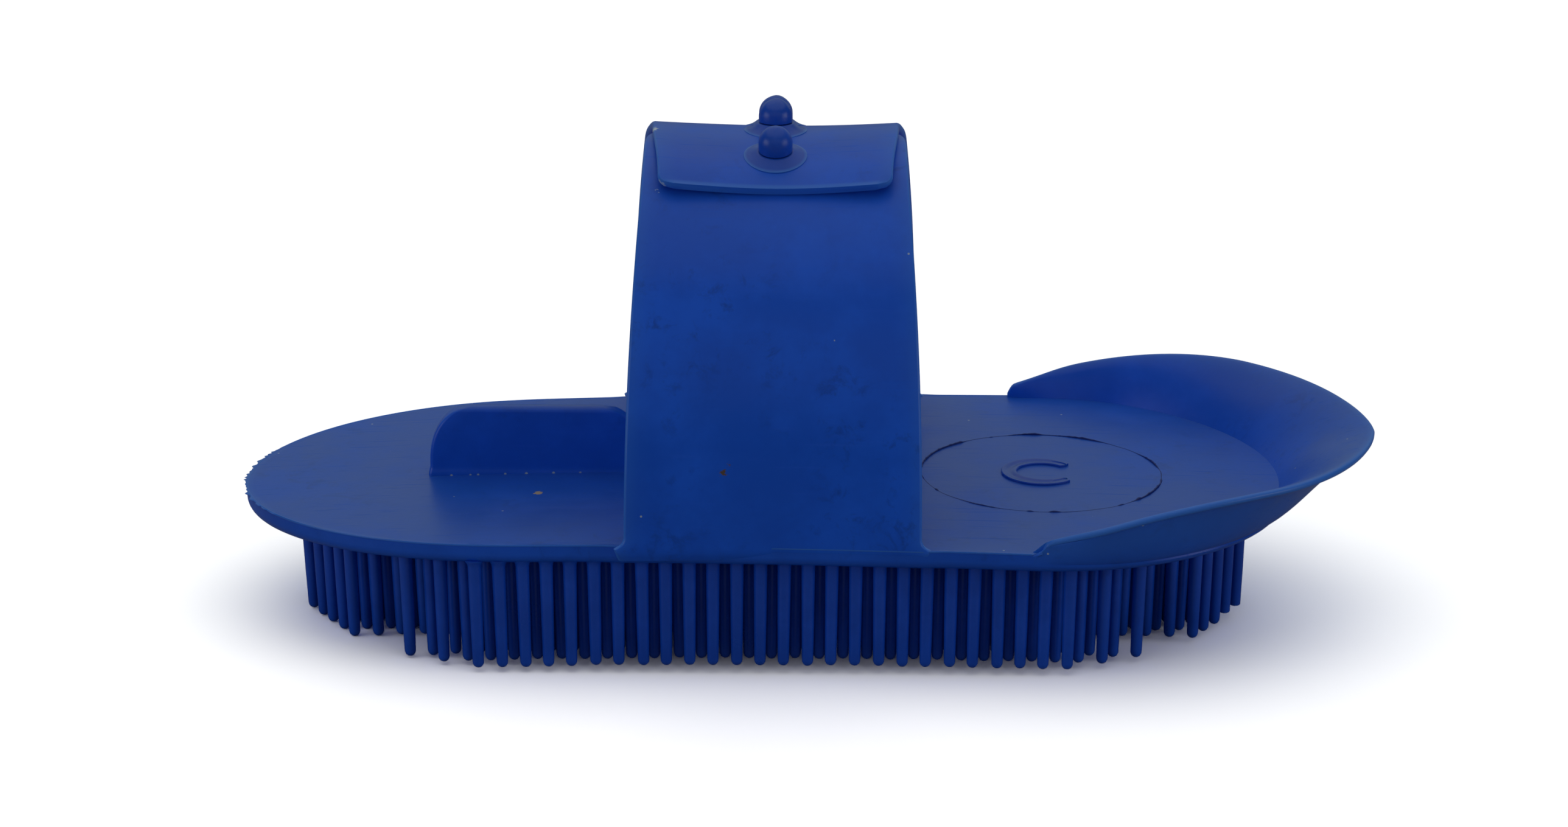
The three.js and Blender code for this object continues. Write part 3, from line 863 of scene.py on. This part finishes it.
def foot_rings(flap, crown_width, seed):
    """The flap's root, which runs on down into the plate's side."""
    side = -1 if flap == "front" else 1
    rings = []
    angle = 0.004 if flap == "front" else math.pi - 0.004
    for drop, inset in ((3.0, 0.9), (2.2, 0.35), (1.4, 0.04), (0.6, 0.0)):
        ring = strap_ring(flap, angle, strap_half_width(0, crown_width), seed)
        rings.append([(x * (1 - 0.012 * drop), y - side * inset, z - drop) for x, y, z in ring])
    return rings


def build_front_strap(material):
    end = arch_angle("front", FRONT_FLAP_END)
    rings = foot_rings("front", FRONT_CROWN_WIDTH, 0)
    fine_start = [0.004, 0.01, 0.018, 0.027, 0.038, 0.055]
    for angle in fine_start + spread(0.08, end, 130):
        spot = arch("front", angle)[0]
        half = strap_half_width(spot.y if spot.x < 0 else CROWN, FRONT_CROWN_WIDTH)
        rings.append(strap_ring("front", angle, half - 1.8 * smooth((spot.x - 1) / 9)))
    piece = loft("front_flap_skin", rings, material, thin=strap_painted_glow(rings, 0))
    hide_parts("front_strap")
    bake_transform(piece)


def build_back_strap(material):
    """The back flap's lower wall, from its root, where the real flap bends, up to the seam."""
    seam = math.pi - math.asin(22 / CROWN)
    rings = foot_rings("back", BACK_CROWN_WIDTH, 3)
    fine_start = [math.pi - a for a in (0.004, 0.01, 0.018, 0.027, 0.038, 0.055)]
    for angle in fine_start + spread(math.pi - 0.08, seam, 40):
        height = arch("back", angle)[0].y
        rings.append(strap_ring("back", angle, strap_half_width(height, BACK_CROWN_WIDTH), 3))
    piece = loft("back_flap_wall", rings, material, thin=strap_painted_glow(rings, 0))
    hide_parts("back_strap")
    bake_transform(piece)
    return seam


def build_tab(material, seam):
    """The back flap's upper part and its buttoned tab; the real tab bends at the peel line."""
    end = arch_angle("back", TAB_END)
    corner = 2.5
    rings = []
    angles = spread(seam, end + 0.08, 110) + [end + 0.08 * math.cos(t) for t in spread(0.15, math.pi / 2, 9)]
    for angle in angles:
        spot = arch("back", angle)[0]
        height = spot.y if angle > math.pi / 2 else CROWN
        half = strap_half_width(height, BACK_CROWN_WIDTH)
        half += (TAB_CREST_WIDTH / 2 - half) * smooth((PEEL_LINE - 3 - spot.x) / 14)
        half += (TAB_END_WIDTH / 2 - half) * smooth((6 - spot.x) / (6 - TAB_END))
        to_end = (angle - end) * 48
        turn = max(0, 1 - to_end / corner)
        half -= corner * (1 - math.sqrt(max(0, 1 - turn * turn)))
        rings.append(strap_ring("back", angle, half, 3))
    piece = loft("back_flap_tab", rings, material, thin=strap_painted_glow(rings, 2))
    for y in STUD_PLACES:
        punch_hole(piece, y)
    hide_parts("strap_tab")
    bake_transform(piece)


def stud_matrix(y):
    """Local z along the stud at y on the front flap's outer face, local y along the strap."""
    spot, normal = arch("front", arch_angle("front", y), STRAP_THICKNESS / 2)
    turn = Matrix.Rotation(math.atan2(-normal.x, normal.y), 4, "X")
    return Matrix.Translation(Vector((0, spot.x, spot.y))) @ turn


def punch_hole(piece, y):
    """Cuts an eyelet's hole through the tab."""
    radius, reach = 3.0, 4
    ring = [Vector((radius * math.cos(t), radius * math.sin(t), 0)) for t in spread(0, 2 * math.pi, 32)[:-1]]
    matrix = stud_matrix(y)
    points = [tuple(matrix @ (p + Vector((0, 0, z)))) for z in (-reach, reach) for p in ring]
    faces = strip_faces(2, 32) + [tuple(reversed(range(32))), tuple(range(32, 64))]
    cutter = make_piece("cutter", points, faces, piece.data.materials[0])
    cut = piece.modifiers.new("hole", "BOOLEAN")
    cut.object = cutter
    cut.operation = "DIFFERENCE"
    cut.solver = "EXACT"
    graph = bpy.context.evaluated_depsgraph_get()
    result = bpy.data.meshes.new_from_object(piece.evaluated_get(graph))
    piece.modifiers.remove(cut)
    old = piece.data
    piece.data = result
    bpy.data.meshes.remove(old)
    bpy.data.objects.remove(cutter)


def turned_piece(name, profile, y, material, segments, shape, sharp_angle, thin=None):
    """A profile of (radius, height) turned about a stud's axis and shaped point by point."""
    matrix = stud_matrix(y)
    rings = []
    for radius, height in profile:
        ring = []
        for turn in spread(0, 2 * math.pi, segments)[:-1]:
            local = shape(Vector((radius * math.cos(turn), radius * math.sin(turn), height)))
            ring.append(tuple(matrix @ local))
        rings.append(ring)
    points = [p for ring in rings for p in ring]
    closed = profile[0][0] > 0.2
    faces = strip_faces(len(rings), segments, closed_rows=closed)
    if not closed:
        faces.append(tuple(range(segments)))
        faces.append(tuple(range(len(points) - segments, len(points))))
    return make_piece(name, points, faces, material, sharp_angle, thin)


def build_stud(index, y, material):
    """A ball on a short cylinder, whose flat foot sits right on the collar."""
    head, neck, start, top = 3.13, 2.2, LAP + COLLAR_RISE[index - 1] + 0.04, 7.6
    crown = top - head
    profile = [(0.05, -0.6), (3.0, -0.6), (3.0, 0.1), (2.6, 0.35), (neck + 0.1, 0.7), (neck, 1.2)]
    profile += [(neck, start - 0.25), (neck + 0.35, start), (head - 0.28, start + 0.02)]
    profile += [(head - 0.06, start + 0.12), (head, start + 0.34)]
    profile += [(head, crown - 0.3)]
    profile += [(head * math.cos(t), crown + head * math.sin(t)) for t in spread(0, 1.5, 14)]

    def moulded(p):
        """A faint parting line up both sides of the head, and a gate mark a little off its top."""
        flat = math.hypot(p.x, p.y)
        if flat < 1e-6 or p.z < start:
            return p
        ridge = 0.06 * math.exp(-((p.x / 0.2) ** 2))
        gate = 0.14 * math.exp(-(((p.x - 0.5) / 1.1) ** 2 + (p.y / 1.1) ** 2)) * smooth((p.z - crown) / 2)
        return Vector((p.x * (1 + ridge / flat), p.y * (1 + ridge / flat), p.z + gate))

    piece = turned_piece(f"stud_{index}_moulding", profile, y, material, 56, moulded, 45)
    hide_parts(f"stud_{index}")
    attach(piece, "front_flap")


def build_collar(index, y, material):
    """A low cone round an eyelet. Its sharp brim follows the curve of the tab and its lip is level."""
    base, lip, bore = LAP - 0.05, 3.3, 2.42
    rise = COLLAR_RISE[index - 1]
    profile = [
        (bore, 0.32),
        (3.3, 0.32),
        (3.4, base - 0.3),
        (5.5, base - 0.3),
        (5.8, LAP + 0.02),
        (5.82, LAP + 0.1),
        (5.7, LAP + 0.17),
        (5.2, LAP + 0.17 + rise * 0.09),
        (4.6, LAP + 0.17 + rise * 0.26),
        (4.0, LAP + 0.17 + rise * 0.5),
        (3.6, LAP + rise * 0.86),
        (lip + 0.1, LAP + rise * 0.97),
        (lip - 0.1, LAP + rise),
        (bore + 0.35, LAP + rise - 0.06),
        (bore, LAP + rise - 0.3),
    ]
    curve = 34

    def follow(p):
        level = min(1, max(0, (p.z - LAP) / rise))
        return Vector((p.x, p.y, p.z - p.y * p.y / (2 * curve) * (1 - level)))

    # Painted highlight: the brim's ring gets the painted glow, a bright line along the collar's lower edge.
    thin = [0.9 if 4 <= i <= 6 else 0 for i in range(len(profile)) for _ in range(64)]
    piece = turned_piece(f"eyelet_collar_{index}_moulding", profile, y, material, 64, follow, 30, thin)
    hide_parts(f"eyelet_collar_{index}")
    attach(piece, "tab")


# ---- Making everything ----

add_camera()
add_studio()
body_blue = plastic(
    "body_blue",
    deep=(0.007, 0.094, 0.62),
    pale=(0.009, 0.115, 0.74),
    dust=(0.03, 0.12, 0.32),
    dust_amount=0.3,
    gloss=0.33,
    shine=0.3,
    blotches=0.35,
    speck_amount=0.3,
    spots=(
        ((-43.5, -13, -0.5), 1.7, (0.5, 0.4, 0.25)),
        ((77, 47.5, 8.8), 1.8, (0.75, 0.8, 0.85)),
        *(((x, -1.75, plate_top(x)), 0.45, (0.3, 0.4, 0.55)) for x in (-60, -56.5, -55, -50, -46, -41, -36)),
    ),
)
teeth_blue = plastic(
    "teeth_blue",
    deep=(0.006, 0.075, 0.55),
    pale=(0.009, 0.1, 0.7),
    dust=(0.03, 0.12, 0.5),
    dust_amount=0.2,
    gloss=0.32,
    shine=0.38,
    blotches=0.15,
    speck_amount=0.04,
)
strap_blue = plastic(
    "strap_blue",
    deep=(0.007, 0.102, 0.7),
    pale=(0.009, 0.128, 0.84),
    dust=(0.045, 0.14, 0.5),
    dust_amount=0.25,
    gloss=0.34,
    shine=0.25,
    blotches=0.6,
    speck_amount=0.14,
    spots=(
        ((-9, -43.9, 14), 1.5, (0.12, 0.08, 0.06)),
        ((-8, -43.6, 15.6), 1.2, (0.12, 0.08, 0.06)),
        ((-21.2, -19, 60.5), 2.4, (0.35, 0.5, 0.75)),
        ((-22.9, 1, 66.3), 2.6, (0.6, 0.72, 0.85)),
    ),
)
# Painted shade: a dark blue for the roundel's witness line, standing in for the shadow in a groove along it.
painted_shade_line_blue = plastic(
    "painted_shade_line_blue",
    deep=(0.002, 0.018, 0.16),
    pale=(0.003, 0.025, 0.2),
    dust=(0.004, 0.03, 0.2),
    dust_amount=0.1,
    gloss=0.5,
    shine=0.38,
    blotches=0.3,
    speck_amount=0,
)
stud_blue = plastic(
    "stud_blue",
    deep=(0.007, 0.07, 0.48),
    pale=(0.011, 0.09, 0.58),
    dust=(0.03, 0.12, 0.45),
    dust_amount=0.2,
    gloss=0.3,
    shine=0.35,
    blotches=0.2,
    speck_amount=0.03,
)

build_body(body_blue)
build_rib(body_blue)
build_roundel(painted_shade_line_blue)
build_horseshoe(stud_blue)
build_teeth(teeth_blue)
build_front_strap(strap_blue)
back_seam = build_back_strap(strap_blue)
build_tab(strap_blue, back_seam)
for number, stud_y in enumerate(STUD_PLACES, start=1):
    build_stud(number, stud_y, stud_blue)
    # The collars take the studs' darker blue, painted shade for their dark sides and the dark ring round each
    # stud.
    build_collar(number, stud_y, stud_blue)
